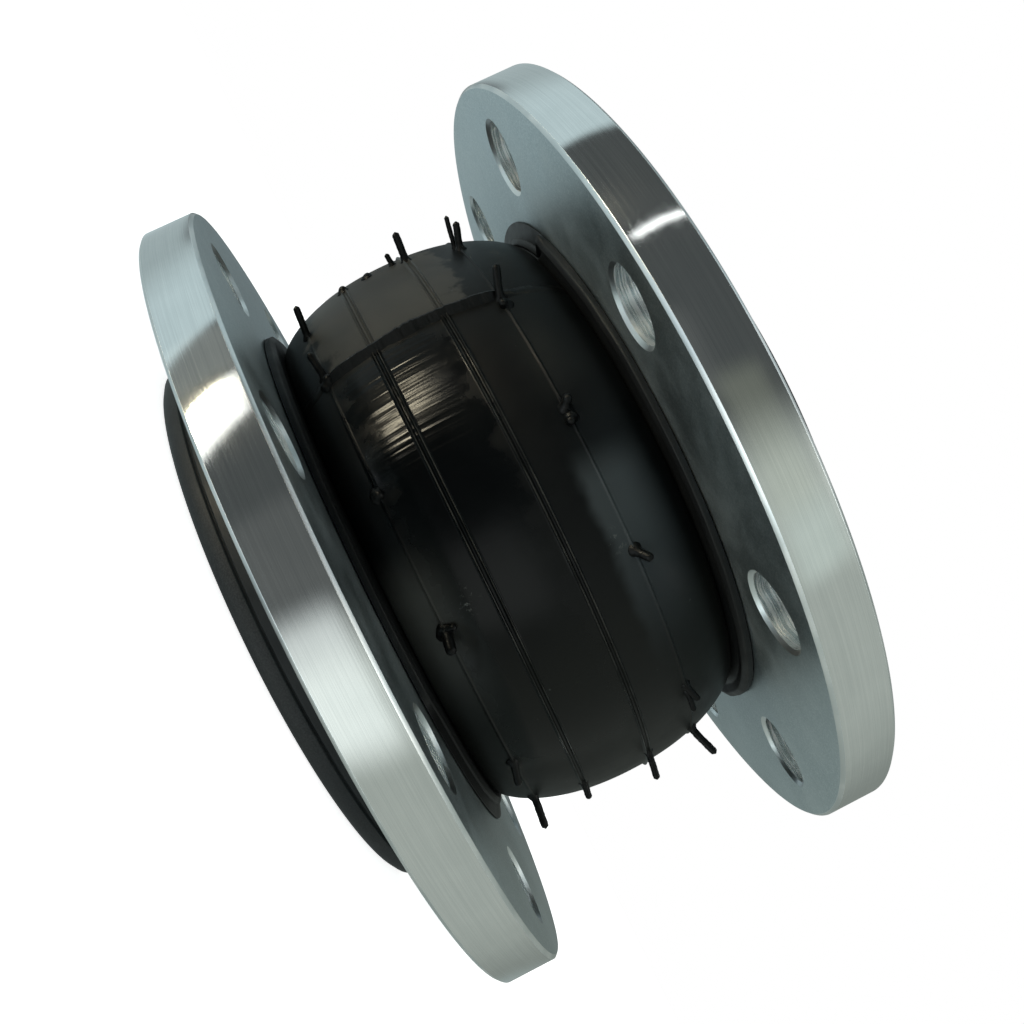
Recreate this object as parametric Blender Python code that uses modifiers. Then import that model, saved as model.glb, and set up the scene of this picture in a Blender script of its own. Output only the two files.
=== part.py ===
"""Rubber expansion joint, single wide arch, DN 100 (4 in), with two floating steel flanges.

The pipe axis is Z. The lower sealing face lies on Z = 0 and the origin is on the axis. Units are metres.
The rubber body is one moulding; its layers (cover, fabric plies, inner tube, bead wires and fillers) are
modelled as the separate pieces that it is built up from.
"""

import math

import bmesh
import bpy
from mathutils import Vector

# Face to face and bore
LENGTH = 0.135
BORE_RADIUS = 0.050

# Floating flanges, Class 150 drilling
FLANGE_RADIUS = 0.1143
FLANGE_THICKNESS = 0.014
FLANGE_BORE_RADIUS = 0.0655
FLANGE_EDGE_CHAMFER = 0.0014
FLANGE_BORE_CHAMFER = 0.0015
BOLT_COUNT = 8
BOLT_CIRCLE_RADIUS = 0.09525
BOLT_HOLE_RADIUS = 0.0095
BOLT_HOLE_CHAMFER = 0.0009
LOWER_FLANGE_TURN = math.radians(22.5)
UPPER_FLANGE_TURN = math.radians(27.5)

# Sealing lips, with the neck inside the flange and the collar behind it
LIP_RADIUS = 0.0805
LIP_THICKNESS = 0.0145
LIP_EDGE_CHAMFER = 0.0014
NECK_RADIUS = 0.0648
NECK_FLARE_START = 0.021
COLLAR_RADIUS = 0.0775
COLLAR_THICKNESS = 0.0014
COLLAR_END = 0.0315
GAP = 0.0003

# Bead: two rows of three wire hoops in a channel, closed by a filler
WIRE_RADIUS = 0.0011
WIRE_PITCH = 0.0026
WIRE_COLUMNS = 3
WIRE_ROWS = 2
WIRE_FIRST_RADIUS = 0.0680
WIRE_FIRST_HEIGHT = 0.0050
CHANNEL_INNER_RADIUS = 0.0662
CHANNEL_OUTER_RADIUS = 0.0750
CHANNEL_FLOOR = 0.0035
FILLER_FLOOR = 0.0093

# Arch: the outline of the cover, and the layers inside it
ARCH_NECK_RADIUS = 0.0702
ARCH_CROWN_RADIUS = 0.0815
ARCH_FLATNESS = 2.2
ARCH_SHOULDER = 0.72
ARCH_STEPS = 8
LAYERS = (
    ("outer_cover", 0.0030),
    ("carcass_ply_3", 0.0011),
    ("carcass_ply_2", 0.0011),
    ("carcass_ply_1", 0.0011),
    ("inner_tube", 0.0032),
)

RING_STEPS = 32
FLANGE_STEPS = 48
HOLE_STEPS = 12
WIRE_SIDES = 6
LAYER_STACK = sum(thickness for _, thickness in LAYERS) + GAP * (len(LAYERS) - 1)


def clear_scene():
    for old in list(bpy.data.objects):
        bpy.data.objects.remove(old, do_unlink=True)


def new_collection(name, hidden=False):
    collection = bpy.data.collections.new(name)
    collection.hide_render = hidden
    bpy.context.scene.collection.children.link(collection)
    return collection


def new_material(name, colour, roughness, metallic):
    material = bpy.data.materials.new(name)
    material.use_nodes = True
    shader = material.node_tree.nodes["Principled BSDF"]
    shader.inputs["Base Color"].default_value = (*colour, 1.0)
    shader.inputs["Roughness"].default_value = roughness
    shader.inputs["Metallic"].default_value = metallic
    return material


def turned(name, outline, steps, collection, material):
    """A ring turned about Z from a closed outline of (radius, height), outer side downwards first."""
    profile = bpy.data.meshes.new(name)
    count = len(outline)
    edges = [(i, (i + 1) % count) for i in range(count)]
    profile.from_pydata([(radius, 0.0, height) for radius, height in outline], edges, [])
    obj = bpy.data.objects.new(name, profile)
    collection.objects.link(obj)
    screw = obj.modifiers.new("Screw", "SCREW")
    screw.axis = "Z"
    screw.steps = screw.render_steps = steps
    screw.use_merge_vertices = True
    screw.merge_threshold = 0.00001
    profile.materials.append(material)
    finish_round(obj)
    return obj


def finish_round(obj):
    """Turns the modifiers into mesh, shades it smooth and keeps its edges sharp."""
    bpy.context.view_layer.update()
    graph = bpy.context.evaluated_depsgraph_get()
    made = bpy.data.meshes.new_from_object(obj.evaluated_get(graph))
    obj.modifiers.clear()
    obj.data = made
    made.shade_smooth()
    made.set_sharp_from_angle(angle=math.radians(30))


def mirrored_outline(outline):
    """The same section at the other end of the joint, still running down its outer side first."""
    return [(radius, LENGTH - height) for radius, height in reversed(outline)]


def flange_outline(floor):
    top = floor + FLANGE_THICKNESS
    edge = FLANGE_EDGE_CHAMFER
    bore = FLANGE_BORE_CHAMFER
    return [
        (FLANGE_RADIUS - edge, top),
        (FLANGE_RADIUS, top - edge),
        (FLANGE_RADIUS, floor + edge),
        (FLANGE_RADIUS - edge, floor),
        (FLANGE_BORE_RADIUS + bore, floor),
        (FLANGE_BORE_RADIUS, floor + bore),
        (FLANGE_BORE_RADIUS, top - bore),
        (FLANGE_BORE_RADIUS + bore, top),
    ]


def bolt_cutters(name, floor, turn, collection):
    """One mesh with a double-chamfered hole shape for every bolt."""
    top = floor + FLANGE_THICKNESS
    wide = BOLT_HOLE_RADIUS + BOLT_HOLE_CHAMFER + GAP
    sections = (
        (wide, floor - GAP),
        (BOLT_HOLE_RADIUS, floor + BOLT_HOLE_CHAMFER),
        (BOLT_HOLE_RADIUS, top - BOLT_HOLE_CHAMFER),
        (wide, top + GAP),
    )
    mesh = bpy.data.meshes.new(name)
    build = bmesh.new()
    for bolt in range(BOLT_COUNT):
        angle = turn + bolt * math.tau / BOLT_COUNT
        centre = Vector((math.cos(angle), math.sin(angle), 0.0)) * BOLT_CIRCLE_RADIUS
        rings = []
        for radius, height in sections:
            ring = []
            for step in range(HOLE_STEPS):
                around = angle + step * math.tau / HOLE_STEPS
                reach = Vector((math.cos(around), math.sin(around), 0.0)) * radius
                ring.append(build.verts.new(centre + reach + Vector((0.0, 0.0, height))))
            rings.append(ring)
        build.faces.new(reversed(rings[0]))
        build.faces.new(rings[-1])
        for lower, upper in zip(rings, rings[1:]):
            for step in range(HOLE_STEPS):
                after = (step + 1) % HOLE_STEPS
                build.faces.new((lower[step], lower[after], upper[after], upper[step]))
    build.to_mesh(mesh)
    build.free()
    cutter = bpy.data.objects.new(name, mesh)
    cutter.hide_render = True
    cutter.display_type = "WIRE"
    collection.objects.link(cutter)
    return cutter


def make_flange(name, floor, turn, parts, cutters, material):
    flange = turned(name, flange_outline(floor), FLANGE_STEPS, parts, material)
    cutter = bolt_cutters(name + "_bolt_holes", floor, turn, cutters)
    drill = flange.modifiers.new("Drill", "BOOLEAN")
    drill.operation = "DIFFERENCE"
    drill.object = cutter
    finish_round(flange)
    return flange


def lip_outline():
    """Section of the lower sealing lip: face disc, bead channel, neck through the flange, collar."""
    seat = LIP_THICKNESS - GAP
    collar = LIP_THICKNESS + FLANGE_THICKNESS + GAP
    edge = LIP_EDGE_CHAMFER
    return [
        (ARCH_NECK_RADIUS, COLLAR_END),
        (COLLAR_RADIUS - 0.0012, collar + COLLAR_THICKNESS + 0.0003),
        (COLLAR_RADIUS, collar + COLLAR_THICKNESS),
        (COLLAR_RADIUS, collar),
        (NECK_RADIUS, collar),
        (NECK_RADIUS, seat),
        (CHANNEL_INNER_RADIUS, seat),
        (CHANNEL_INNER_RADIUS, CHANNEL_FLOOR),
        (CHANNEL_OUTER_RADIUS, CHANNEL_FLOOR),
        (CHANNEL_OUTER_RADIUS, seat),
        (LIP_RADIUS - edge, seat),
        (LIP_RADIUS, seat - edge),
        (LIP_RADIUS, edge),
        (LIP_RADIUS - edge, 0.0),
        (BORE_RADIUS + edge, 0.0),
        (BORE_RADIUS, edge),
        (BORE_RADIUS, NECK_FLARE_START),
        (ARCH_NECK_RADIUS - LAYER_STACK, COLLAR_END),
    ]


def filler_outline():
    seat = LIP_THICKNESS - GAP
    return [
        (CHANNEL_OUTER_RADIUS - GAP, seat),
        (CHANNEL_OUTER_RADIUS - GAP, FILLER_FLOOR),
        (CHANNEL_INNER_RADIUS + GAP, FILLER_FLOOR),
        (CHANNEL_INNER_RADIUS + GAP, seat),
    ]


def make_bead_wires(end, parts, material):
    """The hoops of one bead, numbered outwards in each row."""
    for row in range(WIRE_ROWS):
        height = WIRE_FIRST_HEIGHT + row * WIRE_PITCH
        if end == "upper":
            height = LENGTH - height
        for column in range(WIRE_COLUMNS):
            radius = WIRE_FIRST_RADIUS + column * WIRE_PITCH
            bpy.ops.mesh.primitive_torus_add(
                major_radius=radius,
                minor_radius=WIRE_RADIUS,
                major_segments=RING_STEPS,
                minor_segments=WIRE_SIDES,
                location=(0.0, 0.0, height),
            )
            wire = bpy.context.object
            wire.name = f"{end}_bead_wire_{row * WIRE_COLUMNS + column + 1}"
            wire.data.shade_smooth()
            wire.data.materials.append(material)
            for holder in list(wire.users_collection):
                holder.objects.unlink(wire)
            parts.objects.link(wire)


def arch_radius(height):
    """Outer radius of the cover: a flat crown that turns down at its shoulders."""
    half = LENGTH / 2 - COLLAR_END
    along = min(1.0, abs(height - LENGTH / 2) / half)
    rise = (1.0 - along**ARCH_FLATNESS) ** ARCH_SHOULDER
    return ARCH_NECK_RADIUS + (ARCH_CROWN_RADIUS - ARCH_NECK_RADIUS) * rise


def arch_heights():
    """Heights down the arch, closest together at the shoulders, where it turns most."""
    half = LENGTH / 2 - COLLAR_END
    reach = half - GAP
    return [
        LENGTH / 2 + reach * math.cos(math.pi * step / ARCH_STEPS)
        for step in range(ARCH_STEPS + 1)
    ]


def make_layers(parts, materials):
    depth = 0.0
    for name, thickness in LAYERS:
        outer = [(arch_radius(height) - depth, height) for height in arch_heights()]
        inner = [(radius - thickness, height) for radius, height in reversed(outer)]
        turned(name, outer + inner, RING_STEPS, parts, materials[name])
        depth += thickness + GAP


def main():
    clear_scene()
    parts = new_collection("rubber_expansion_joint")
    cutters = new_collection("cutters", hidden=True)

    rubber = new_material("black_rubber", (0.012, 0.013, 0.015), 0.42, 0.0)
    liner = new_material("liner_rubber", (0.016, 0.016, 0.017), 0.55, 0.0)
    fabric = new_material("nylon_cord_fabric", (0.33, 0.27, 0.17), 0.75, 0.0)
    zinc = new_material("zinc_plated_steel", (0.56, 0.59, 0.60), 0.30, 1.0)
    wire = new_material("bronze_coated_bead_wire", (0.62, 0.45, 0.27), 0.32, 1.0)

    lower_floor = LIP_THICKNESS
    upper_floor = LENGTH - LIP_THICKNESS - FLANGE_THICKNESS
    make_flange("lower_flange", lower_floor, LOWER_FLANGE_TURN, parts, cutters, zinc)
    make_flange("upper_flange", upper_floor, UPPER_FLANGE_TURN, parts, cutters, zinc)

    turned("lower_sealing_lip", lip_outline(), RING_STEPS, parts, rubber)
    turned("upper_sealing_lip", mirrored_outline(lip_outline()), RING_STEPS, parts, rubber)
    turned("lower_bead_filler", filler_outline(), RING_STEPS, parts, rubber)
    turned("upper_bead_filler", mirrored_outline(filler_outline()), RING_STEPS, parts, rubber)
    make_bead_wires("lower", parts, wire)
    make_bead_wires("upper", parts, wire)

    layer_materials = {name: fabric for name, _ in LAYERS}
    layer_materials["outer_cover"] = rubber
    layer_materials["inner_tube"] = liner
    make_layers(parts, layer_materials)


main()
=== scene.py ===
"""Looks of a rubber expansion joint with two floating flanges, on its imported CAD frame.

Lengths in this script are millimetres until a mesh is made. An azimuth is in degrees round the
pipe axis (+Z): 0 faces -Y, the side that the camera is on, and +90 faces +X. Colours are linear.
"""

import math

import bpy
import numpy as np
from mathutils import Matrix, Vector


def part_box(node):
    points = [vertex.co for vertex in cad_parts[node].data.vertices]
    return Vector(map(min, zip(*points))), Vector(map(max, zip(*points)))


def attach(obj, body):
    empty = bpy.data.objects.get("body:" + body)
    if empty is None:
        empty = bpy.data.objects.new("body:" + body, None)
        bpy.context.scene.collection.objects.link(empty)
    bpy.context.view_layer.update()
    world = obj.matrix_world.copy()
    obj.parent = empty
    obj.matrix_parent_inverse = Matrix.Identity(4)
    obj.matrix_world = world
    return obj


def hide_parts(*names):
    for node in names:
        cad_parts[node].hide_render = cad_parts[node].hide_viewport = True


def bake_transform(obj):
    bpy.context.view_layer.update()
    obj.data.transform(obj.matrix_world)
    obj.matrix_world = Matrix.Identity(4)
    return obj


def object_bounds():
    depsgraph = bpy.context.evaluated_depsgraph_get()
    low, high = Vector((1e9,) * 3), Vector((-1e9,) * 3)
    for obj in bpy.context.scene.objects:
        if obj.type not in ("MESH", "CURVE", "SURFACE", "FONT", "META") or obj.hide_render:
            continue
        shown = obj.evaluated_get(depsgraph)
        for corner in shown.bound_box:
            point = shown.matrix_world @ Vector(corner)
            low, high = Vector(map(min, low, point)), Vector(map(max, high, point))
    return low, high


MM = 0.001

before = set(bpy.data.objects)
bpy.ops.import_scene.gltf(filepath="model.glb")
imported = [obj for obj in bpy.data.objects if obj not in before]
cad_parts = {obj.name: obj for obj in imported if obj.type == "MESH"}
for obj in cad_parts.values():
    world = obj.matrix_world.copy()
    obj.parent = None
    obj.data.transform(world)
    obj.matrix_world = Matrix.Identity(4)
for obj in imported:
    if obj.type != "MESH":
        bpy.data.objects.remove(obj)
cad_low, cad_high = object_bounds()

# Where the CAD says things are.
LENGTH = cad_high.z / MM
FLANGE_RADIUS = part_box("lower_flange")[1].x / MM
LOWER_FLANGE_Z = [v.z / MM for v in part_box("lower_flange")]
UPPER_FLANGE_Z = [v.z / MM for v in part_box("upper_flange")]
LIP_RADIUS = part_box("lower_sealing_lip")[1].x / MM
ARCH_Z = [v.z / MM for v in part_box("outer_cover")]
MIDDLE = LENGTH / 2

# The flanges.
FLANGE_BORE = 65.5
BORE_CHAMFER = 1.5
RIM_CHAMFER = 0.8
HOLE_COUNT = 8
HOLE_CIRCLE = 95.25
HOLE_RADIUS = 9.5
HOLE_CHAMFER = 0.9
LOWER_HOLE_TURN = 22.5
UPPER_HOLE_TURN = 27.5

# The rubber ends. Heights are from the sealing face.
LIP_BORE = 50.0
LIP_EDGE_FILLET = 4.45
LIP_BACK = 14.2
LIP_GROOVE = ((0.0, 5.0, 0.2), (0.8, 5.45, 0.15), (0.0, 5.9, 0.2))  # depth, height, fillet
BEAD_INNER, BEAD_OUTER, BEAD_FLOOR = 66.2, 75.0, 3.5
THROAT_RADIUS = 64.8
COLLAR_SEAT = 28.8
COLLAR_BACK = 31.4
COLLAR_SHORT = 30.5
END_Z = 31.5

# The arch, whose profile runs from its crown to its necks.
ARCH_NECK = 70.2
ARCH_CROWN = 81.5
ARCH_HALF = 36.0
ARCH_FULLNESS, ARCH_ROUNDNESS = 2.2, 0.72

# The four moulded lines round the arch, where one stage of the flexing also hands over to the next.
FIRST_SEAM, FIRST_RIDGE, SECOND_RIDGE, LAST_SEAM = 40.5, 54.0, 72.5, 86.5
SEAMS = (FIRST_SEAM, LAST_SEAM)
RIDGES = (FIRST_RIDGE, SECOND_RIDGE)
STAGES = [
    ("lower_end", "lower_shoulder", ARCH_Z[0], FIRST_SEAM),
    ("lower_shoulder", "lower_arch", FIRST_SEAM, FIRST_RIDGE),
    ("lower_arch", "upper_arch", FIRST_RIDGE, SECOND_RIDGE),
    ("upper_arch", "upper_shoulder", SECOND_RIDGE, LAST_SEAM),
    ("upper_shoulder", "upper_end", LAST_SEAM, ARCH_Z[1]),
]
# A ridge is a pair of crests, a seam is one. Each has its height above the rubber and its width.
RIDGE_TALL, RIDGE_WIDE, CREST_OFFSET = 0.68, 0.26, 0.66
SEAM_TALL, SEAM_WIDE = 0.34, 0.30
KNOB_TALL, KNOB_WIDE = 0.75, 1.3  # where a whisker stands on a seam; the width is in degrees

FLASH_AZIMUTH = -38.0
FLASH_TALL, FLASH_WIDE = 2.0, 1.6
# Section of the flash: sideways as a share of its width, and up as a share of its height.
FLASH_SECTION = [(-1.25, -0.6), (-1.0, 0.12), (-0.55, 0.45), (-0.30, 0.92), (0.05, 1.0),
                 (0.38, 0.55), (0.8, 0.16), (1.25, -0.6)]

# Vent whiskers that moulding leaves: height, azimuth, length, lean round, lean along, thickness.
WHISKERS = [
    (FIRST_SEAM, -57, 8.6, -0.10, 0.10, 0.75), (FIRST_SEAM, -40, 7.5, -1.5, -0.25, 0.75),
    (FIRST_SEAM, -38, 2.6, -0.5, 0.5, 0.95), (FIRST_SEAM, -13, 1.3, 0.2, 0.1, 0.95),
    (FIRST_SEAM, 13, 5.6, 1.0, -0.2, 1.10), (FIRST_SEAM, 12, 3.4, 0.2, 1.3, 0.75),
    (FIRST_SEAM, 45, 6.5, 2.0, -0.5, 0.80), (FIRST_SEAM, 66, 9.0, 0.3, -0.11, 0.85),
    (FIRST_RIDGE, -66, 1.6, 0.0, 0.0, 0.9), (FIRST_RIDGE, 62, 4.6, 0.6, -0.15, 0.75),
    (SECOND_RIDGE, -64, 8.0, -0.05, 0.05, 0.85),
    (SECOND_RIDGE - 3.6, -66, 3.4, -0.05, -0.1, 0.60),
    (SECOND_RIDGE - 11, -66, 1.2, 0.0, 0.3, 0.9), (SECOND_RIDGE, 61, 7.5, 0.5, -0.18, 0.75),
    (LAST_SEAM - 0.8, -62, 8.6, -0.1, 0.14, 0.55), (LAST_SEAM, -60, 7.2, -0.1, 0.27, 0.80),
    (LAST_SEAM, -37, 8.2, -0.9, 0.45, 0.85), (LAST_SEAM, -35, 2.2, 0.2, -0.3, 0.95),
    (LAST_SEAM, -12, 3.6, -0.6, 0.65, 0.95), (LAST_SEAM, -10, 2.2, 0.9, -0.4, 0.90),
    (LAST_SEAM, 14, 4.8, 0.8, 0.8, 0.90), (LAST_SEAM, 45, 5.5, 2.0, 0.7, 0.70),
    (LAST_SEAM, 47, 6.0, 2.0, -0.1, 0.60), (LAST_SEAM, 66, 9.5, 0.3, 0.35, 0.85),
]
FAR_WHISKERS = [
    (height, azimuth + 5 * (i % 3), 4.0 + 1.7 * (i % 4),
     0.3 - 0.2 * (i % 4), 0.25 - 0.25 * (i % 3), 0.72)
    for height in SEAMS for i, azimuth in enumerate(range(94, 270, 27))
]
WHISKER_THICKNESS = 1.2  # all of them are that much thicker than listed
WHISKER_ROOT = 0.5  # how deep in the rubber they start
STAGE_OF_LINE = {FIRST_SEAM: "lower_shoulder", FIRST_RIDGE: "lower_arch",
                 SECOND_RIDGE: "upper_arch", LAST_SEAM: "upper_shoulder"}

# The room round the object, by direction: azimuths, elevations, how soft the edges are in degrees
# (one number, or one each for low and high azimuth and low and high elevation), colour, slant.
ROOM = (0.075, 0.082, 0.082)
DIMMEST = (0.045, 0.048, 0.048)
PANELS = [
    # a cool window wall, its brighter side, and a dark shelf and a dark top on it
    ((-172, -82.1), (-90, 90), (16, 3, 1, 1), (0.31, 0.38, 0.39), 0.26),
    ((-112, -82.1), (-90, 90), (24, 3, 1, 1), (0.18, 0.22, 0.23), 0.34),
    ((-172, -122), (-3, 11), (16, 14, 3, 3), (-0.25, -0.31, -0.315), 0.26),
    ((-172, -118), (21, 62), (16, 14, 5, 10), (-0.21, -0.26, -0.265), 0.26),
    # the dim wall beside it, a lamp, its warm middle and its stand
    ((-81, -66), (-34, 6), 4, (0.15, 0.16, 0.15), 0.0),
    ((-64.5, -52.5), (-30, 2), (1.0, 1.0, 6, 3), (1.45, 1.45, 1.4), 0.25),
    ((-63.5, -59), (-25, -4), (2, 2, 6, 3), (56.0, 50.0, 36.0), 0.25),
    ((-48.1, -47.6), (9, 60), (0.4, 0.4, 3, 3), (8.0, 8.0, 7.9), 0.2),
    # a faint one in front, a white panel, the pale wall with its far part, and light on that wall
    ((-28, -4), (-28, 10), 8, (0.04, 0.04, 0.038), 0.0),
    ((0, 38), (-30, 2), (12, 14, 10, 10), (0.56, 0.59, 0.58), 0.0),
    ((10, 118), (-90, 90), (24, 60, 1, 1), (0.20, 0.21, 0.195), 0.0),
    ((10, 166), (-90, 90), (24, 24, 1, 1), (0.14, 0.16, 0.14), 0.0),
    ((-8, 30), (8, 27), (8, 10, 8, 8), (0.09, 0.095, 0.07), 0.0),
    ((30, 49), (8, 30), (14, 8, 8, 8), (0.14, 0.17, 0.16), 0.0),
    # soft light overhead, the bounce from below and its spill, and the ceiling
    ((20, 62), (42, 68), (26, 24, 26, 12), (2.9, 2.9, 2.8), 0.0),
    ((-1, 44), (-72, -38), (10, 18, 10, 14), (1.9, 2.05, 2.1), 0.0),
    ((-60, 0), (-70, -32), (24, 8, 16, 10), (0.8, 0.9, 0.95), 0.0),
    ((-175, 175), (72, 91), 20, (0.7, 0.72, 0.74), 0.0),
    # a cool fill behind, on both sides of where the azimuths meet
    ((140, 181), (-48, -6), (20, 1, 12, 8), (0.10, 0.13, 0.14), 0.0),
    ((-181, -150), (-48, -6), (1, 20, 12, 8), (0.10, 0.13, 0.14), 0.0),
]


# ---------------------------------------------------------------- shapes


def wobble(values, seed, period=None, octaves=4):
    """Smooth noise from -1 to 1 along values. With a period it joins up with itself."""
    rng = np.random.default_rng(seed)
    total, weight, out = 0.0, 1.0, np.zeros(np.shape(values))
    for octave in range(octaves):
        cells = (2**octave) * (1 if period is None else max(1, round(period)))
        table = rng.uniform(-1, 1, 4096)
        x = np.asarray(values, float) * 2**octave
        i = np.floor(x).astype(int)
        f = x - i
        f = f * f * (3 - 2 * f)
        a = table[(i % cells if period else i) % 4096]
        b = table[((i + 1) % cells if period else i + 1) % 4096]
        out += weight * (a + (b - a) * f)
        total += weight
        weight *= 0.55
    return out / total


def ramp(values, start, length):
    """0 up to start, and 1 from length beyond it."""
    return np.clip((values - start) / length, 0, 1)


def fall(values, end, length):
    """1 until length before end, and 0 beyond it."""
    return np.clip((end - values) / length, 0, 1)


def rounded(corners, steps):
    """A closed outline of (radius, height) with each corner's third number as its fillet."""
    out, count = [], len(corners)
    for i, corner in enumerate(corners):
        p = np.array(corner[:2], float)
        fillet = corner[2] if len(corner) > 2 else 0
        if not fillet:
            out.append(p)
            continue
        a = np.array(corners[i - 1][:2], float) - p
        b = np.array(corners[(i + 1) % count][:2], float) - p
        long_a, long_b = np.linalg.norm(a), np.linalg.norm(b)
        a, b = a / long_a, b / long_b
        half = math.acos(np.clip(a @ b, -1, 1)) / 2
        cut = min(fillet / math.tan(half), long_a * 0.9, long_b * 0.9)
        radius = cut * math.tan(half)
        centre = p + (a + b) / np.linalg.norm(a + b) * radius / math.sin(half)
        first, last = p + a * cut - centre, p + b * cut - centre
        start = math.atan2(first[1], first[0])
        turn = (math.atan2(last[1], last[0]) - start + math.pi) % math.tau - math.pi
        for k in range(steps + 1):
            angle = start + turn * k / steps
            out.append(centre + radius * np.array([math.cos(angle), math.sin(angle)]))
    return np.array(out)


def on_ring(radius, azimuth, height):
    """Points from radius, azimuth in radians and height."""
    return np.stack(
        np.broadcast_arrays(radius * np.sin(azimuth), -radius * np.cos(azimuth), height), -1
    )


def keep_rest(mesh):
    """Stores where each point is at rest, so that a pattern stays put when the piece bends."""
    points = np.array([v.co for v in mesh.vertices], np.float32) / MM
    found = mesh.attributes.get("rest") or mesh.attributes.new("rest", "FLOAT_VECTOR", "POINT")
    found.data.foreach_set("vector", points.ravel())


def finish_mesh(mesh, crease=32):
    mesh.polygons.foreach_set("use_smooth", [True] * len(mesh.polygons))
    mesh.set_sharp_from_angle(angle=math.radians(crease))
    keep_rest(mesh)
    mesh.update()


def piece(name, points, faces, materials, slots=None, crease=32):
    mesh = bpy.data.meshes.new(name)
    mesh.from_pydata([tuple(p) for p in np.asarray(points, float) * MM], [], faces)
    for material in materials:
        mesh.materials.append(material)
    if slots is not None:
        mesh.polygons.foreach_set("material_index", slots)
    finish_mesh(mesh, crease)
    obj = bpy.data.objects.new(name, mesh)
    bpy.context.scene.collection.objects.link(obj)
    return obj


def lathe(name, outline, steps, materials, slot_of=None, shape=None, crease=32):
    """A ring turned round Z from a closed outline that runs anticlockwise in (radius, height)."""
    outline = np.asarray(outline, float)
    count = len(outline)
    azimuths = (np.arange(steps) * math.tau / steps)[:, None]
    radius = np.broadcast_to(outline[:, 0], (steps, count)).copy()
    height = np.broadcast_to(outline[:, 1], (steps, count)).copy()
    if shape:
        radius, height = shape(radius, azimuths, height)
    points = on_ring(radius, azimuths, height).reshape(-1, 3)
    faces, slots = [], []
    edge_slots = [0] * count
    if slot_of:
        edge_slots = [slot_of(outline[i], outline[(i + 1) % count]) for i in range(count)]
    for j in range(steps):
        k = (j + 1) % steps
        for i in range(count):
            n = (i + 1) % count
            faces.append((j * count + i, k * count + i, k * count + n, j * count + n))
            slots.append(edge_slots[i])
    return piece(name, points, faces, materials, slots, crease)


def strip_faces(rows, sides):
    """Faces of a closed skin over rows of that many points each, capped at both ends."""
    faces = []
    for j in range(rows - 1):
        for i in range(sides):
            n = (i + 1) % sides
            faces.append((j * sides + i, j * sides + n, (j + 1) * sides + n, (j + 1) * sides + i))
    faces.append(tuple(range(sides))[::-1])
    faces.append(tuple(range((rows - 1) * sides, rows * sides)))
    return faces


def tube(name, path, radii, materials, roughness, seed, sides=12):
    """A closed tube along path, with rounded ends where its radii run out."""
    along = np.gradient(path, axis=0)
    along /= np.linalg.norm(along, axis=1)[:, None]
    across = np.cross(along, [0.0, 0.0, 1.0])
    across /= np.linalg.norm(across, axis=1)[:, None]
    over = np.cross(along, across)
    turn = np.arange(sides) * math.tau / sides
    ring = (across[:, None] * np.cos(turn)[None, :, None]
            + over[:, None] * np.sin(turn)[None, :, None])
    rng = np.random.default_rng(seed)
    uneven = 1 + roughness * rng.uniform(-1, 1, (len(path), sides))
    points = (path[:, None] + ring * (radii[:, None] * uneven)[..., None]).reshape(-1, 3)
    return piece(name, points, strip_faces(len(path), sides), materials, crease=60)


# ---------------------------------------------------------------- materials


class Nodes:
    """Short calls for the nodes that a material and the studio are made of."""

    def __init__(self, tree):
        self.tree = tree

    def node(self, kind, inputs=None, **settings):
        node = self.tree.nodes.new(kind)
        for key, value in settings.items():
            setattr(node, key, value)
        for key, value in (inputs or {}).items():
            if isinstance(value, bpy.types.NodeSocket):
                self.tree.links.new(value, node.inputs[key])
            else:
                node.inputs[key].default_value = value
        return node

    def math(self, operation, a, b=0.0, clamp=False):
        inputs = {0: a, 1: b}
        return self.node("ShaderNodeMath", inputs, operation=operation, use_clamp=clamp).outputs[0]

    def plus(self, a, b):
        return self.math("ADD", a, b)

    def minus(self, a, b):
        return self.math("SUBTRACT", a, b)

    def times(self, value, *others):
        for other in others:
            value = self.math("MULTIPLY", value, other)
        return value

    def vector(self, operation, a, b=(0, 0, 0), scale=1.0):
        node = self.node("ShaderNodeVectorMath", {0: a, 1: b, 3: scale}, operation=operation)
        return node.outputs[1 if operation == "DISTANCE" else 0]

    def span(self, value, low, high, out_low=0.0, out_high=1.0):
        """value carried smoothly from low..high to out_low..out_high."""
        inputs = {0: value, 1: low, 2: high, 3: out_low, 4: out_high}
        node = self.node("ShaderNodeMapRange", inputs, interpolation_type="SMOOTHSTEP")
        return node.outputs[0]

    def azimuth_of(self, x, y):
        return self.times(self.math("ARCTAN2", x, self.times(y, -1)), 180 / math.pi)


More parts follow.
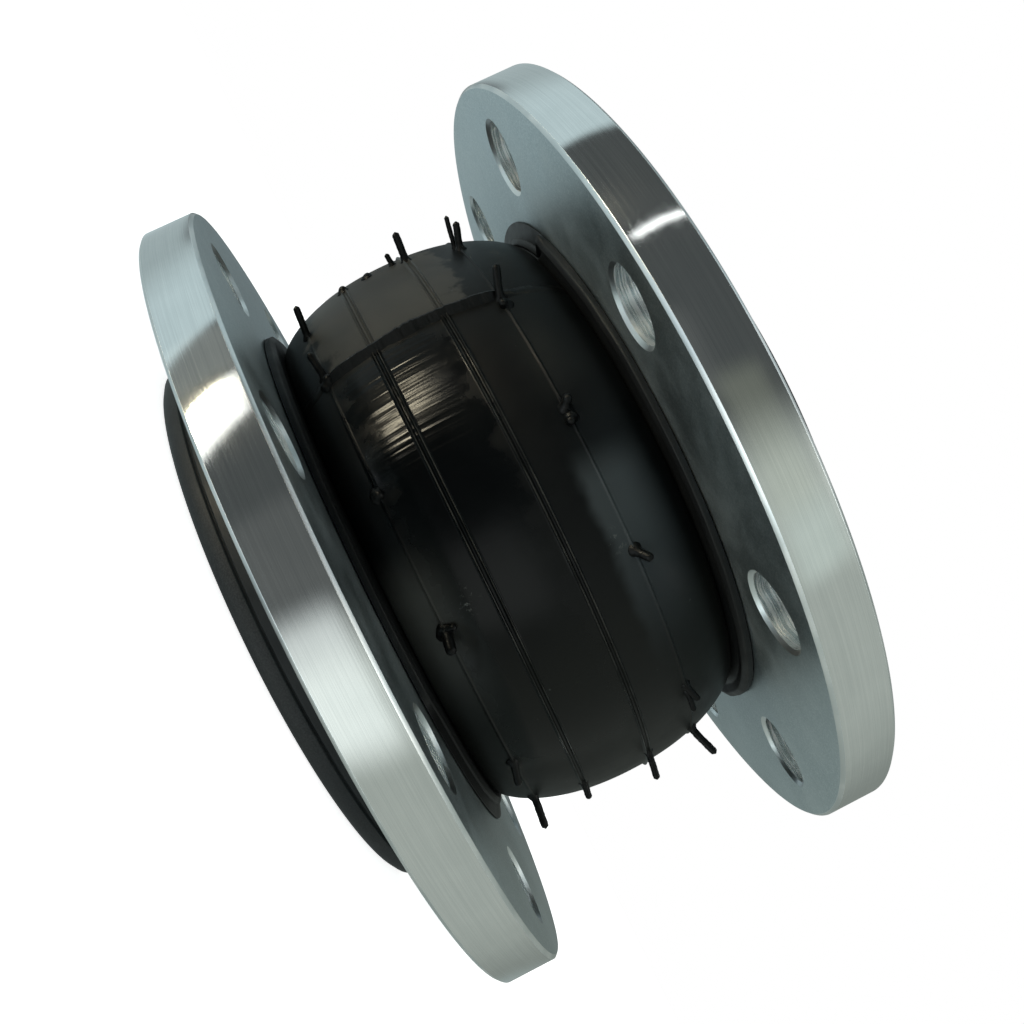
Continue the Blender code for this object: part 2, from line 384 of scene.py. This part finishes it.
class Shader(Nodes):
    """A material, placed by where each point is at rest."""

    def __init__(self, name):
        self.material = bpy.data.materials.new(name)
        self.material.use_nodes = True
        super().__init__(self.material.node_tree)
        self.surface = self.tree.nodes["Principled BSDF"]
        self.place = self.node("ShaderNodeAttribute", attribute_name="rest").outputs["Vector"]
        self.x, self.y, self.z = self.node("ShaderNodeSeparateXYZ", {0: self.place}).outputs
        squares = self.plus(self.times(self.x, self.x), self.times(self.y, self.y))
        self.radius = self.math("SQRT", squares)
        self.azimuth = self.azimuth_of(self.x, self.y)

    def noise(self, vector, scale, detail=2.0, rough=0.5):
        inputs = {"Vector": vector, "Scale": scale, "Detail": detail, "Roughness": rough}
        return self.node("ShaderNodeTexNoise", inputs).outputs[0]

    def stretched(self, x, y, z):
        return self.vector("MULTIPLY", self.place, (x, y, z))

    def wrapped(self, around, outwards, along):
        """Place on the ring: sine and cosine times around, radius and height times the others."""
        lift = self.plus(self.times(self.radius, outwards), self.times(self.z, along))
        unit = [self.times(self.math("DIVIDE", v, self.radius), around) for v in (self.x, self.y)]
        return self.node("ShaderNodeCombineXYZ", {0: unit[0], 1: unit[1], 2: lift}).outputs[0]

    def between(self, value, low, high, soft):
        """1 from low to high, falling to 0 over soft at each end."""
        return self.times(self.span(value, low - soft, low + soft),
                          self.span(value, high - soft, high + soft, 1.0, 0.0))

    def near(self, azimuth, radius, height, reach):
        """1 at a place on the object, 0 from reach away."""
        spot = tuple(float(v) for v in on_ring(radius, math.radians(azimuth), height))
        return self.span(self.vector("DISTANCE", self.place, spot), 0.0, reach, 1.0, 0.0)

    def colour(self, share, a, b):
        node = self.node("ShaderNodeMix", data_type="RGBA")
        for socket, value in ((node.inputs[0], share), (node.inputs[6], a), (node.inputs[7], b)):
            if isinstance(value, bpy.types.NodeSocket):
                self.tree.links.new(value, socket)
            else:
                socket.default_value = (*value, 1.0) if isinstance(value, tuple) else value
        return node.outputs[2]

    def bump(self, height, depth, under=None):
        """Relief of that depth in millimetres, on top of the relief under it."""
        inputs = {"Height": height, "Distance": depth * MM, "Strength": 1.0}
        if under is not None:
            inputs["Normal"] = under
        return self.node("ShaderNodeBump", inputs).outputs[0]

    def finish(self, colour, roughness, normal=None, **fixed):
        for name, value in (("Base Color", colour), ("Roughness", roughness), ("Normal", normal)):
            if isinstance(value, bpy.types.NodeSocket):
                self.tree.links.new(value, self.surface.inputs[name])
            elif value is not None:
                self.surface.inputs[name].default_value = value
        for name, value in fixed.items():
            self.surface.inputs[name.replace("_", " ")].default_value = value
        return self.material


def turned_zinc():
    """Bright zinc on a turned rim: fine lines round the axis with a few coarser ones among them."""
    s = Shader("turned_zinc")
    fine = s.noise(s.stretched(0.035, 0.035, 7.0), 1.0, 3.0, 0.6)
    coarse = s.noise(s.stretched(0.012, 0.012, 1.6), 1.0, 2.0, 0.5)
    streak = s.plus(s.times(fine, 0.75), s.times(coarse, 0.25))
    cloud = s.noise(s.place, 0.06, 3.0, 0.6)
    grit = s.noise(s.stretched(1.2, 1.2, 3.0), 1.0, 2.0, 0.7)
    shade = s.span(s.plus(streak, s.times(s.minus(cloud, 0.5), 0.35)), 0.3, 0.72)
    colour = s.colour(shade, (0.71, 0.74, 0.74), (0.84, 0.865, 0.86))
    rough = s.plus(s.span(streak, 0.3, 0.7, 0.075, 0.11), s.span(grit, 0.45, 0.7, 0.0, 0.01))
    normal = s.bump(grit, 0.0002, s.bump(coarse, 0.003, s.bump(fine, 0.005)))
    tangent = s.node("ShaderNodeTangent", direction_type="RADIAL", axis="Z").outputs[0]
    s.tree.links.new(tangent, s.surface.inputs["Tangent"])
    return s.finish(colour, rough, normal, Metallic=1.0, Anisotropic=0.75,
                    Anisotropic_Rotation=0.25)


def faced_zinc():
    """Duller zinc on a flange's faces: speckled and cloudy, with a few scratches."""
    s = Shader("faced_zinc")
    rings = s.noise(s.wrapped(1.5, 5.0, 0.0), 1.0, 3.0, 0.6)
    speckle = s.noise(s.place, 2.4, 3.0, 0.75)
    cloud = s.noise(s.place, 0.045, 4.0, 0.6)
    strokes = s.vector("MULTIPLY", s.vector("ADD", s.place, (9, 3, 0)), (0.08, 2.4, 1.0))
    scratch = s.times(s.span(s.noise(strokes, 1.0, 2.0, 0.4), 0.70, 0.76),
                      s.span(cloud, 0.45, 0.6))
    dark = s.colour(s.span(cloud, 0.3, 0.7), (0.39, 0.465, 0.485), (0.51, 0.585, 0.605))
    colour = s.colour(s.span(speckle, 0.42, 0.68, 0.0, 0.7), dark, (0.70, 0.76, 0.77))
    colour = s.colour(s.times(scratch, 0.5), colour, (0.85, 0.88, 0.88))
    rough = s.plus(s.span(cloud, 0.3, 0.7, 0.33, 0.43), s.times(speckle, 0.06))
    return s.finish(colour, rough, s.bump(speckle, 0.010, s.bump(rings, 0.006)), Metallic=1.0)


def bright_edge():
    """The flange's small chamfers."""
    s = Shader("bright_edge_zinc")
    worn = s.noise(s.place, 0.08, 2.0, 0.5)
    colour = s.colour(s.span(worn, 0.35, 0.7), (0.72, 0.77, 0.78), (0.86, 0.89, 0.89))
    return s.finish(colour, s.span(worn, 0.3, 0.7, 0.30, 0.38), Metallic=1.0)


def drilled_zinc():
    """The wall of a drilled hole, with the marks of the drill round it."""
    s = Shader("drilled_zinc")
    swirl = s.plus(s.z, s.times(s.noise(s.place, 0.12, 1.0), 2.0))
    marks = {0: s.times(s.x, 0.05), 1: s.times(s.y, 0.05), 2: s.times(swirl, 2.2)}
    lines = s.noise(s.node("ShaderNodeCombineXYZ", marks).outputs[0], 1.0, 3.0, 0.6)
    colour = s.colour(s.span(lines, 0.38, 0.62), (0.60, 0.66, 0.67), (0.97, 0.98, 0.98))
    rough = s.span(lines, 0.3, 0.7, 0.20, 0.34)
    return s.finish(colour, rough, s.bump(lines, 0.026), Metallic=1.0)


def arch_tone_and_painted_sheen(s, along, cloud, ripple):
    """Near black, and greyer to the right; with painted sheen on both shoulders, painted highlights
    on the ridge crests and painted sheen past the flash.
    """
    base = s.colour(s.span(cloud, 0.35, 0.7), (0.0008, 0.0014, 0.0018), (0.0020, 0.0028, 0.0033))
    base = s.colour(s.span(s.azimuth, 12.0, 30.0), base, (0.0062, 0.0070, 0.0062))
    # Painted reflection: a blue-grey sheen on the upper shoulder, painted into the base colour,
    # with a wavy lower edge standing for the flange rim seen in it.
    sheen_edge = s.plus(s.z, s.times(s.minus(s.noise(s.place, 0.10, 2.0), 0.5), 5.0))
    sheen_fade = s.times(s.span(s.azimuth, -6.0, 2.0), s.span(s.azimuth, 5.0, 40.0, 1.0, 0.0))
    painted_shoulder_sheen = s.times(s.span(sheen_edge, 80.0, 83.5), s.span(s.z, 90.0, 101.0, 1.0, 0.0), sheen_fade)
    base = s.colour(painted_shoulder_sheen, base, (0.038, 0.046, 0.051))
    # Painted sheen: a lighter grey on the lower shoulder, painted into the base colour.
    sheen_fade = s.times(s.span(s.azimuth, -5.0, 7.0), s.span(s.azimuth, 9.0, 36.0, 1.0, 0.0))
    base = s.colour(s.times(s.span(s.z, 35.0, 50.0, 1.0, 0.0), sheen_fade), base, (0.052, 0.054, 0.051))
    # Painted highlights: lighter lines along the ridge crests, painted into the base colour.
    for line in RIDGES:
        apart = s.minus(s.math("ABSOLUTE", s.minus(s.z, line)), CREST_OFFSET)
        painted_crest_highlight = s.times(s.span(s.math("ABSOLUTE", apart), 0.08, 0.26, 1.0, 0.0),
                        s.span(ripple, 0.35, 0.65, 0.25, 0.9))
        base = s.colour(painted_crest_highlight, base, (0.050, 0.050, 0.047))
    # Painted sheen: a lighter grey-brown over the crown past the flash, painted into the base
    # colour.
    past = s.times(s.between(along, 41.5, 79.0, 1.6), s.span(s.azimuth, -38.8, -37.6, 1.0, 0.0),
                   s.span(s.azimuth, -125.0, -85.0))
    past = s.times(past, s.span(cloud, 0.3, 0.7, 0.6, 1.0))
    return s.colour(past, base, (0.047, 0.046, 0.043))


def arch_marks(s, base):
    """Scuffs at two places and specks all over."""
    scuffs = s.math("ADD", s.near(9.0, 79.0, 47.5, 5.0), s.near(11.0, 79.5, 84.0, 4.5), clamp=True)
    scuffs = s.times(scuffs, s.span(s.noise(s.place, 0.7, 4.0, 0.75), 0.56, 0.66))
    specks = s.times(s.span(s.noise(s.place, 0.6, 1.0, 0.4), 0.80, 0.83), 0.35)
    return s.colour(s.math("MAXIMUM", scuffs, specks), base, (0.09, 0.10, 0.10))


def arch_rubber():
    """Moulded rubber, glossy over the crown, with fine ribs that run across it near the flash."""
    s = Shader("arch_rubber")
    along = s.plus(s.z, s.times(s.minus(s.noise(s.place, 0.16, 3.0, 0.6), 0.5), 18.0))
    cloud = s.noise(s.place, 0.05, 4.0, 0.6)
    grain = s.noise(s.place, 4.5, 2.0, 0.6)
    ripple = s.noise(s.wrapped(9.0, 0.0, 0.12), 1.0, 2.0, 0.5)
    base = arch_marks(s, arch_tone_and_painted_sheen(s, along, cloud, ripple))
    crown = s.times(s.between(along, 42.0, 70.0, 3.0), s.between(s.azimuth, -37.0, 46.0, 4.0))
    lines = s.plus(*[s.between(s.z, line - 0.9, line + 0.9, 0.3) for line in RIDGES])
    rough = s.minus(s.span(cloud, 0.3, 0.7, 0.40, 0.48), s.times(crown, 0.27))
    rough = s.minus(rough, s.times(lines, 0.05))
    ribs = s.noise(s.wrapped(64.0, 0.0, 0.035), 1.0, 1.0, 0.5)
    ribbed = s.times(s.between(s.azimuth, -36.0, -14.0, 4.0), s.between(s.z, 43.0, 67.0, 3.0))
    ribs = s.times(s.minus(ribs, 0.5), s.plus(s.times(ribbed, 0.97), 0.03))
    normal = s.bump(grain, 0.005, s.bump(ripple, 0.05, s.bump(ribs, 0.16)))
    return s.finish(base, rough, normal, IOR=1.5, Specular_IOR_Level=0.19)


def lip_rubber():
    """The sealing lip's rubber, greyer in a band at its edge, with painted shade that darkens the
    collar beside the arch.
    """
    s = Shader("lip_rubber")
    cloud = s.noise(s.place, 0.09, 4.0, 0.6)
    grain = s.noise(s.place, 2.6, 3.0, 0.65)
    deep = s.math("MINIMUM", s.z, s.minus(LENGTH, s.z))
    band = s.span(deep, 4.9, 5.6, 1.0, 0.0)
    base = s.colour(s.span(cloud, 0.35, 0.7), (0.0055, 0.0075, 0.009), (0.011, 0.0135, 0.0155))
    base = s.colour(s.times(band, s.span(grain, 0.35, 0.7)), base, (0.020, 0.023, 0.025))
    # Painted shade: the collar, in the arch's shadow, is darkened in the base colour.
    base = s.colour(s.span(deep, 27.0, 28.5), base, (0.0045, 0.0050, 0.0052))
    rough = s.plus(s.span(cloud, 0.3, 0.7, 0.46, 0.58), s.times(band, 0.05))
    lines = s.noise(s.stretched(0.02, 0.02, 2.2), 1.0, 2.0, 0.5)
    normal = s.bump(grain, 0.03, s.bump(lines, 0.03))
    return s.finish(base, rough, normal, IOR=1.48, Specular_IOR_Level=0.28)


def flash_rubber():
    s = Shader("flash_rubber")
    torn = s.noise(s.place, 1.3, 4.0, 0.65)
    base = s.colour(s.span(torn, 0.4, 0.75), (0.0008, 0.0012, 0.0014), (0.005, 0.005, 0.0048))
    rough = s.span(torn, 0.3, 0.7, 0.30, 0.46)
    return s.finish(base, rough, s.bump(torn, 0.08), IOR=1.48, Specular_IOR_Level=0.2)


def liner_rubber():
    s = Shader("liner_rubber")
    cloud = s.noise(s.place, 0.08, 4.0, 0.6)
    wrap = s.noise(s.stretched(0.05, 0.05, 1.4), 1.0, 2.0, 0.5)
    grain = s.noise(s.place, 3.0, 2.0, 0.6)
    base = s.colour(s.span(cloud, 0.3, 0.7), (0.012, 0.013, 0.014), (0.026, 0.027, 0.028))
    rough = s.span(cloud, 0.3, 0.7, 0.42, 0.56)
    normal = s.bump(grain, 0.02, s.bump(wrap, 0.12))
    return s.finish(base, rough, normal, IOR=1.5, Specular_IOR_Level=0.45)


def nylon_cord(turn):
    """Rubber-dipped cord fabric, with its cords wound at that slope."""
    s = Shader("nylon_cord_" + ("left" if turn < 0 else "right"))
    slope = s.plus(s.times(s.azimuth, 1.4), s.times(s.z, turn))
    cords = s.math("ABSOLUTE", s.math("SINE", s.times(slope, math.pi)))
    fibre = s.noise(s.place, 5.0, 2.0, 0.6)
    base = s.colour(s.span(cords, 0.1, 0.9), (0.05, 0.035, 0.025), (0.22, 0.16, 0.11))
    base = s.colour(s.span(fibre, 0.4, 0.7, 0.0, 0.4), base, (0.30, 0.24, 0.18))
    return s.finish(base, s.span(fibre, 0.3, 0.7, 0.6, 0.8), s.bump(cords, 0.3))


# ---------------------------------------------------------------- steel

RIM, FACE, CHAMFER, HOLE = range(4)  # the slots of a flange's materials


def hole_cutter(centre, low, high):
    """The points and faces of one bolt hole with its two chamfers, as a closed solid."""
    wide = HOLE_RADIUS + HOLE_CHAMFER
    rings = [(low - 1, wide + 1), (low + HOLE_CHAMFER, HOLE_RADIUS),
             (high - HOLE_CHAMFER, HOLE_RADIUS), (high + 1, wide + 1)]
    sides = 72
    turn = np.arange(sides) * math.tau / sides
    points = [(centre[0] + r * math.cos(t), centre[1] + r * math.sin(t), z)
              for z, r in rings for t in turn]
    slots = [CHAMFER] * sides + [HOLE] * sides + [CHAMFER] * sides + [HOLE, HOLE]
    return points, strip_faces(len(rings), sides), slots


def flange(name, node, body, heights, hole_turn, materials):
    low, high = heights
    outer, bore = FLANGE_RADIUS, FLANGE_BORE
    outline = rounded([
        (bore, low + BORE_CHAMFER, 0.2), (bore + BORE_CHAMFER, low, 0.2),
        (outer - RIM_CHAMFER, low, 0.15), (outer, low + RIM_CHAMFER, 0.15),
        (outer, high - RIM_CHAMFER, 0.15), (outer - RIM_CHAMFER, high, 0.15),
        (bore + BORE_CHAMFER, high, 0.2), (bore, high - BORE_CHAMFER, 0.2),
    ], steps=2)

    def slot_of(a, b):
        if abs(a[0] - b[0]) < 1e-4:
            return RIM
        return FACE if abs(a[1] - b[1]) < 1e-4 else CHAMFER

    made = lathe(name, outline, 288, materials, slot_of)
    points, faces, slots = [], [], []
    for k in range(HOLE_COUNT):
        turn = math.radians(hole_turn + k * 360 / HOLE_COUNT)
        centre = (HOLE_CIRCLE * math.cos(turn), HOLE_CIRCLE * math.sin(turn))
        hole_points, hole_faces, hole_slots = hole_cutter(centre, low, high)
        faces += [tuple(i + len(points) for i in face) for face in hole_faces]
        points += hole_points
        slots += hole_slots
    cutter = piece(name + "_holes", points, faces, materials, slots)
    cut = made.modifiers.new("holes", "BOOLEAN")
    cut.operation, cut.solver, cut.object = "DIFFERENCE", "EXACT", cutter
    bpy.context.view_layer.update()
    depsgraph = bpy.context.evaluated_depsgraph_get()
    mesh = bpy.data.meshes.new_from_object(made.evaluated_get(depsgraph))
    made.modifiers.clear()
    made.data = mesh
    bpy.data.objects.remove(cutter)
    finish_mesh(mesh, 25)
    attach(made, body)
    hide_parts(node)


# ---------------------------------------------------------------- rubber ends


def lip_shape(flip):
    """Small unevenness of a moulded end: its rim isn't quite true, and its collar has a ragged
    edge that is cut short over part of the turn."""
    rim_loss = 0.55 if flip else 0.12

    def shape(radius, azimuth, height):
        turn = azimuth / math.tau
        own = np.where(flip, LENGTH - height, height)
        collar = ramp(own, 28.9, 1.2) * ramp(radius, 71.5, 2.5)
        rim = ramp(radius, 78.0, 2.0) * fall(own, 14.5, 2.0)
        ragged = 0.45 * wobble(turn * 14, 5 + flip, 14) + 0.28 * wobble(turn * 60, 7 + flip, 60)
        lift = 0.35 * wobble(turn * 9, 11 + flip, 9)
        past = (np.degrees(azimuth) + 52 + 180) % 360 - 180  # degrees past where the cut ends
        if flip:
            hook = 1.1 * np.exp(-((past / 2.0) ** 2))
            ragged = ragged - 4.2 * (fall(past, 0, 2.5) * ramp(past, -88, 6.0)) + hook
        else:
            ragged = ragged - 3.4 * ramp(past, 72, 8.0) * fall(past, 170, 8.0)
        uneven = 1 + 0.3 * wobble(turn * 11, 3 + flip, 11)
        radius = radius + collar * ragged - rim * rim_loss * uneven
        own = own + collar * lift * ramp(own, 30.2, 0.8)
        return radius, np.where(flip, LENGTH - own, own)

    return shape


def sealing_lip(name, node, body, flip, materials):
    outline = rounded([
        (LIP_BORE, 0.0, 1.4), (LIP_RADIUS, 0.0, LIP_EDGE_FILLET),
        *[(LIP_RADIUS - depth, height, fillet) for depth, height, fillet in LIP_GROOVE],
        (LIP_RADIUS, LIP_BACK, 2.0), (BEAD_OUTER, LIP_BACK), (BEAD_OUTER, BEAD_FLOOR),
        (BEAD_INNER, BEAD_FLOOR), (BEAD_INNER, LIP_BACK),
        (THROAT_RADIUS, LIP_BACK), (THROAT_RADIUS, COLLAR_SEAT), (77.0, COLLAR_SEAT, 0.25),
        (77.2, 30.5, 0.6), (75.6, COLLAR_BACK, 0.8),
        (73.2, COLLAR_SHORT if flip else COLLAR_BACK, 1.2),
        (ARCH_NECK, END_Z), (59.5, END_Z), (LIP_BORE, 21.0, 2.0),
    ], steps=4)
    if flip:
        outline = np.stack([outline[:, 0], LENGTH - outline[:, 1]], -1)[::-1]
    made = lathe(name, outline, 360, materials, shape=lip_shape(flip), crease=40)
    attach(made, body)
    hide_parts(node)


# ---------------------------------------------------------------- the arch


def arch_radius(height):
    along = np.clip(np.abs(np.asarray(height, float) - MIDDLE) / ARCH_HALF, 0, 1)
    return ARCH_NECK + (ARCH_CROWN - ARCH_NECK) * (1 - along**ARCH_FULLNESS) ** ARCH_ROUNDNESS


def line_relief(azimuth, height):
    """How far the moulded lines stand out of the arch."""
    turn = azimuth / math.tau
    out = np.zeros(np.broadcast(azimuth, height).shape)
    for i, line in enumerate(RIDGES):
        offset = np.abs(height - line)
        tall = RIDGE_TALL * (1 + 0.22 * wobble(turn * 24, 20 + i, 24))
        out = out + tall * np.exp(-(((offset - CREST_OFFSET) / RIDGE_WIDE) ** 2))
    for i, line in enumerate(SEAMS):
        offset = np.abs(height - line)
        tall = SEAM_TALL * (1 + 0.6 * wobble(turn * 40, 30 + i, 40))
        for place in [w for w in WHISKERS + FAR_WHISKERS if abs(w[0] - line) < 1]:
            apart = (np.degrees(azimuth) - place[1] + 180) % 360 - 180
            tall = tall + KNOB_TALL * np.exp(-((apart / KNOB_WIDE) ** 2))
        out = out + tall * np.exp(-((offset / SEAM_WIDE) ** 2))
    return out


def arch_rows(low, high):
    """Heights of the rows over one stage, close together at its ends, where the lines are."""
    near = np.array([0.14, 0.28, 0.42, 0.56, 0.7, 0.84, 0.98, 1.15, 1.4, 1.8])
    middle = np.linspace(low + 2.4, high - 2.4, max(3, int((high - low - 4.8) / 0.8)))
    return np.unique(np.concatenate([[low], low + near, middle, high - near[::-1], [high]]))


def layer_stage(name, outside, thick, stage, node, slot, materials, fine):
    """One layer of the arch wall over one stage of the flexing. The fine one has the lines."""
    first, last, low, high = stage
    rows = arch_rows(low, high) if fine else np.linspace(low, high, 9)
    outer = np.stack([arch_radius(rows) - outside, rows], -1)
    inner_rows = np.linspace(high, low, 9)
    inner = np.stack([arch_radius(inner_rows) - outside - thick, inner_rows], -1)
    count = len(rows)

    def shape(radius, azimuth, height):
        radius[:, :count] += line_relief(azimuth, height[:, :count])
        radius[:, :count] += 0.12 * wobble(azimuth / math.tau * 7, 41, 7)
        return radius, height

    made = lathe(name, np.concatenate([outer, inner]), 480 if fine else 96, materials,
                 shape=shape if fine else None, crease=50)
    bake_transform(made)
    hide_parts(node)


def flash_stage(name, stage, materials):
    """The ridge of flash along the mould's parting line, over one stage."""
    first, last, low, high = stage
    rows = np.linspace(low, high, max(12, int((high - low) / 0.22)))
    faint = np.clip((rows - 38.5) / 4.0, 0.12, 1) * np.clip((92.0 - rows) / 8.0, 0.12, 1)
    torn = np.exp(-(((rows - 62.5) / 3.2) ** 2))
    tall = (faint * (FLASH_TALL + 0.35 * wobble(rows * 0.4, 51))
            + torn * (0.6 + 0.9 * wobble(rows * 1.1, 52)))
    wide = FLASH_WIDE + 0.25 * wobble(rows * 0.35, 53) + 0.5 * torn
    drift = 0.7 * wobble(rows * 0.10, 54) + 0.16 * wobble(rows * 0.9, 55)
    points = []
    for z, h, w, d in zip(rows, tall, wide, drift):
        base = float(arch_radius(z))
        for side, up in FLASH_SECTION:
            radius = base + (up * h if up > 0 else up)
            azimuth = math.radians(FLASH_AZIMUTH) + (side * w + d) / base
            points.append(on_ring(radius, azimuth, z))
    made = piece(name, points, strip_faces(len(rows), len(FLASH_SECTION)), materials, crease=50)
    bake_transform(made)


def whisker(name, place, materials, seed):
    """One vent whisker: a small cone on the line, a bend as it leans over, and a round tip."""
    height, azimuth, length, lean_round, lean_along, thick = place
    azimuth = math.radians(azimuth)
    outwards = np.array([math.sin(azimuth), -math.cos(azimuth), 0.0])
    round_way = np.array([math.cos(azimuth), math.sin(azimuth), 0.0])
    lean = lean_round * round_way + lean_along * np.array([0.0, 0.0, 1.0])
    root = on_ring(float(arch_radius(height)) - WHISKER_ROOT, azimuth, height)
    steps = 18
    share = np.linspace(0, 1, steps)
    ways = outwards + lean * np.clip(share * 2.5, 0, 1)[:, None]
    ways /= np.linalg.norm(ways, axis=1)[:, None]
    moves = ways[1:] * (length + WHISKER_ROOT) / (steps - 1)
    path = root + np.cumsum(np.vstack([np.zeros(3), moves]), axis=0)
    run = share * (length + WHISKER_ROOT)
    thick *= WHISKER_THICKNESS
    radii = thick * (1 + 0.9 * np.exp(-((run / 0.9) ** 2)))
    left = fall(run, length + WHISKER_ROOT, thick)
    radii = radii * np.sqrt(np.clip(1 - (1 - left) ** 2, 0.02, 1))
    made = tube(name, path, radii, materials, 0.06, seed)
    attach(made, STAGE_OF_LINE[min(STAGE_OF_LINE, key=lambda line: abs(line - height))])


def build_arch(cover, flash, liner, cords):
    """The layers from the outside in: how far each lies below the outside, and its thickness."""
    layers = [
        ("outer_cover", 0.0, 3.0, "moulded_rubber", [cover]),
        ("carcass_ply_3", 3.3, 1.1, "nylon_cord", [cords[0]]),
        ("carcass_ply_2", 4.7, 1.1, "nylon_cord", [cords[1]]),
        ("carcass_ply_1", 6.1, 1.1, "nylon_cord", [cords[0]]),
        ("inner_tube", 7.5, 3.2, "liner_rubber", [liner]),
    ]
    for node, outside, thick, slot, materials in layers:
        for i, stage in enumerate(STAGES, 1):
            layer_stage(f"{node}_stage_{i}", outside, thick, stage, node, slot, materials,
                        fine=node == "outer_cover")
    for i, stage in enumerate(STAGES, 1):
        flash_stage(f"flash_ridge_{i}", stage, [flash])
    for i, place in enumerate(WHISKERS + FAR_WHISKERS, 1):
        whisker(f"vent_whisker_{i}", place, [flash], 100 + i)


# ---------------------------------------------------------------- camera, floor and light


def add_camera():
    """A view level with the arch, rolled so that the pipe axis climbs to the right."""
    right = Vector((0.44012, -0.05125, 0.89648))
    up = Vector((-0.8978, -0.04247, 0.43834))
    place = Vector((-1.37, -293.61, 50.46)) * MM
    data = bpy.data.cameras.new("camera")
    data.lens, data.sensor_width = 34.215, 36.0
    data.shift_x, data.shift_y = 0.0119, -0.0141
    data.clip_start, data.clip_end = 0.01, 20.0
    camera = bpy.data.objects.new("camera", data)
    turn = Matrix((right, up, right.cross(up))).transposed().to_4x4()
    camera.matrix_world = Matrix.Translation(place) @ turn
    bpy.context.scene.collection.objects.link(camera)
    bpy.context.scene.camera = camera


def add_floor():
    """White paper that glows a little, so that it stays as pale as what is round it."""
    size, low = 6000.0, -0.05
    points = [(-size, -size, low), (size, -size, low), (size, size, low), (-size, size, low)]
    shader = Shader("floor")
    paper = shader.noise(shader.place, 0.02, 3.0, 0.5)
    colour = shader.colour(paper, (0.90, 0.90, 0.90), (0.94, 0.94, 0.94))
    material = shader.finish(colour, 0.9, Specular_IOR_Level=0.0)
    shader.surface.inputs["Emission Color"].default_value = (1.0, 1.0, 1.0, 1.0)
    shader.surface.inputs["Emission Strength"].default_value = 0.86
    floor = piece("floor", points, [(0, 1, 2, 3)], [material])
    floor.visible_diffuse = floor.visible_glossy = floor.visible_shadow = False


class Studio(Nodes):
    """The room round the object, as soft panels by direction."""

    def __init__(self):
        self.world = bpy.data.worlds.new("studio")
        bpy.context.scene.world = self.world
        self.world.use_nodes = True
        super().__init__(self.world.node_tree)
        self.tree.nodes.clear()
        way = self.node("ShaderNodeTexCoord").outputs["Generated"]
        x, y, z = self.node("ShaderNodeSeparateXYZ", {0: way}).outputs
        self.azimuth = self.azimuth_of(x, y)
        self.elevation = self.times(self.math("ARCSINE", z), 180 / math.pi)
        self.light = self.node("ShaderNodeCombineXYZ", dict(enumerate(ROOM))).outputs[0]

    def within(self, value, ends, softs):
        """1 between the two ends, each with an edge that wide in degrees."""
        (low, high), (low_soft, high_soft) = ends, softs
        return self.times(self.span(value, low - low_soft / 2, low + low_soft / 2),
                          self.span(value, high - high_soft / 2, high + high_soft / 2, 1.0, 0.0))

    def panel(self, azimuths, elevations, soft, colour, slant):
        """Adds light of that colour between those azimuths and elevations.

        With a slant its azimuths shift by that many degrees for each degree of elevation.
        """
        soft = soft if isinstance(soft, tuple) else (soft,) * 4
        azimuth = self.plus(self.azimuth, self.times(self.elevation, slant))
        share = self.times(self.within(azimuth, azimuths, soft[:2]),
                           self.within(self.elevation, elevations, soft[2:]))
        self.light = self.vector("ADD", self.light, self.vector("SCALE", colour, scale=share))

    def finish(self):
        """Lights the object by the panels, and shows the camera plain white."""
        light = self.vector("MAXIMUM", self.light, DIMMEST)
        room = self.node("ShaderNodeBackground", {0: light, 1: 1.0}).outputs[0]
        white = self.node("ShaderNodeBackground", {0: (1.0, 1.0, 1.0, 1.0), 1: 1.0}).outputs[0]
        seen = self.node("ShaderNodeLightPath").outputs["Is Camera Ray"]
        mixed = self.node("ShaderNodeMixShader", {0: seen, 1: room, 2: white}).outputs[0]
        self.tree.links.new(mixed, self.node("ShaderNodeOutputWorld").inputs["Surface"])


def light_studio():
    studio = Studio()
    for panel in PANELS:
        studio.panel(*panel)
    studio.finish()


# ---------------------------------------------------------------- the object
# The bead's wires and fillers, sealed in the rubber ends, stay as the CAD has them.

zinc = [turned_zinc(), faced_zinc(), bright_edge(), drilled_zinc()]
flange("lower_flange_ring", "lower_flange", "lower_flange", LOWER_FLANGE_Z, LOWER_HOLE_TURN, zinc)
flange("upper_flange_ring", "upper_flange", "upper_flange", UPPER_FLANGE_Z, UPPER_HOLE_TURN, zinc)

lip = lip_rubber()
sealing_lip("lower_lip", "lower_sealing_lip", "lower_end", False, [lip])
sealing_lip("upper_lip", "upper_sealing_lip", "upper_end", True, [lip])

build_arch(arch_rubber(), flash_rubber(), liner_rubber(), [nylon_cord(1.1), nylon_cord(-1.1)])

bpy.context.scene.view_settings.view_transform = "Standard"
add_camera()
add_floor()
light_studio()
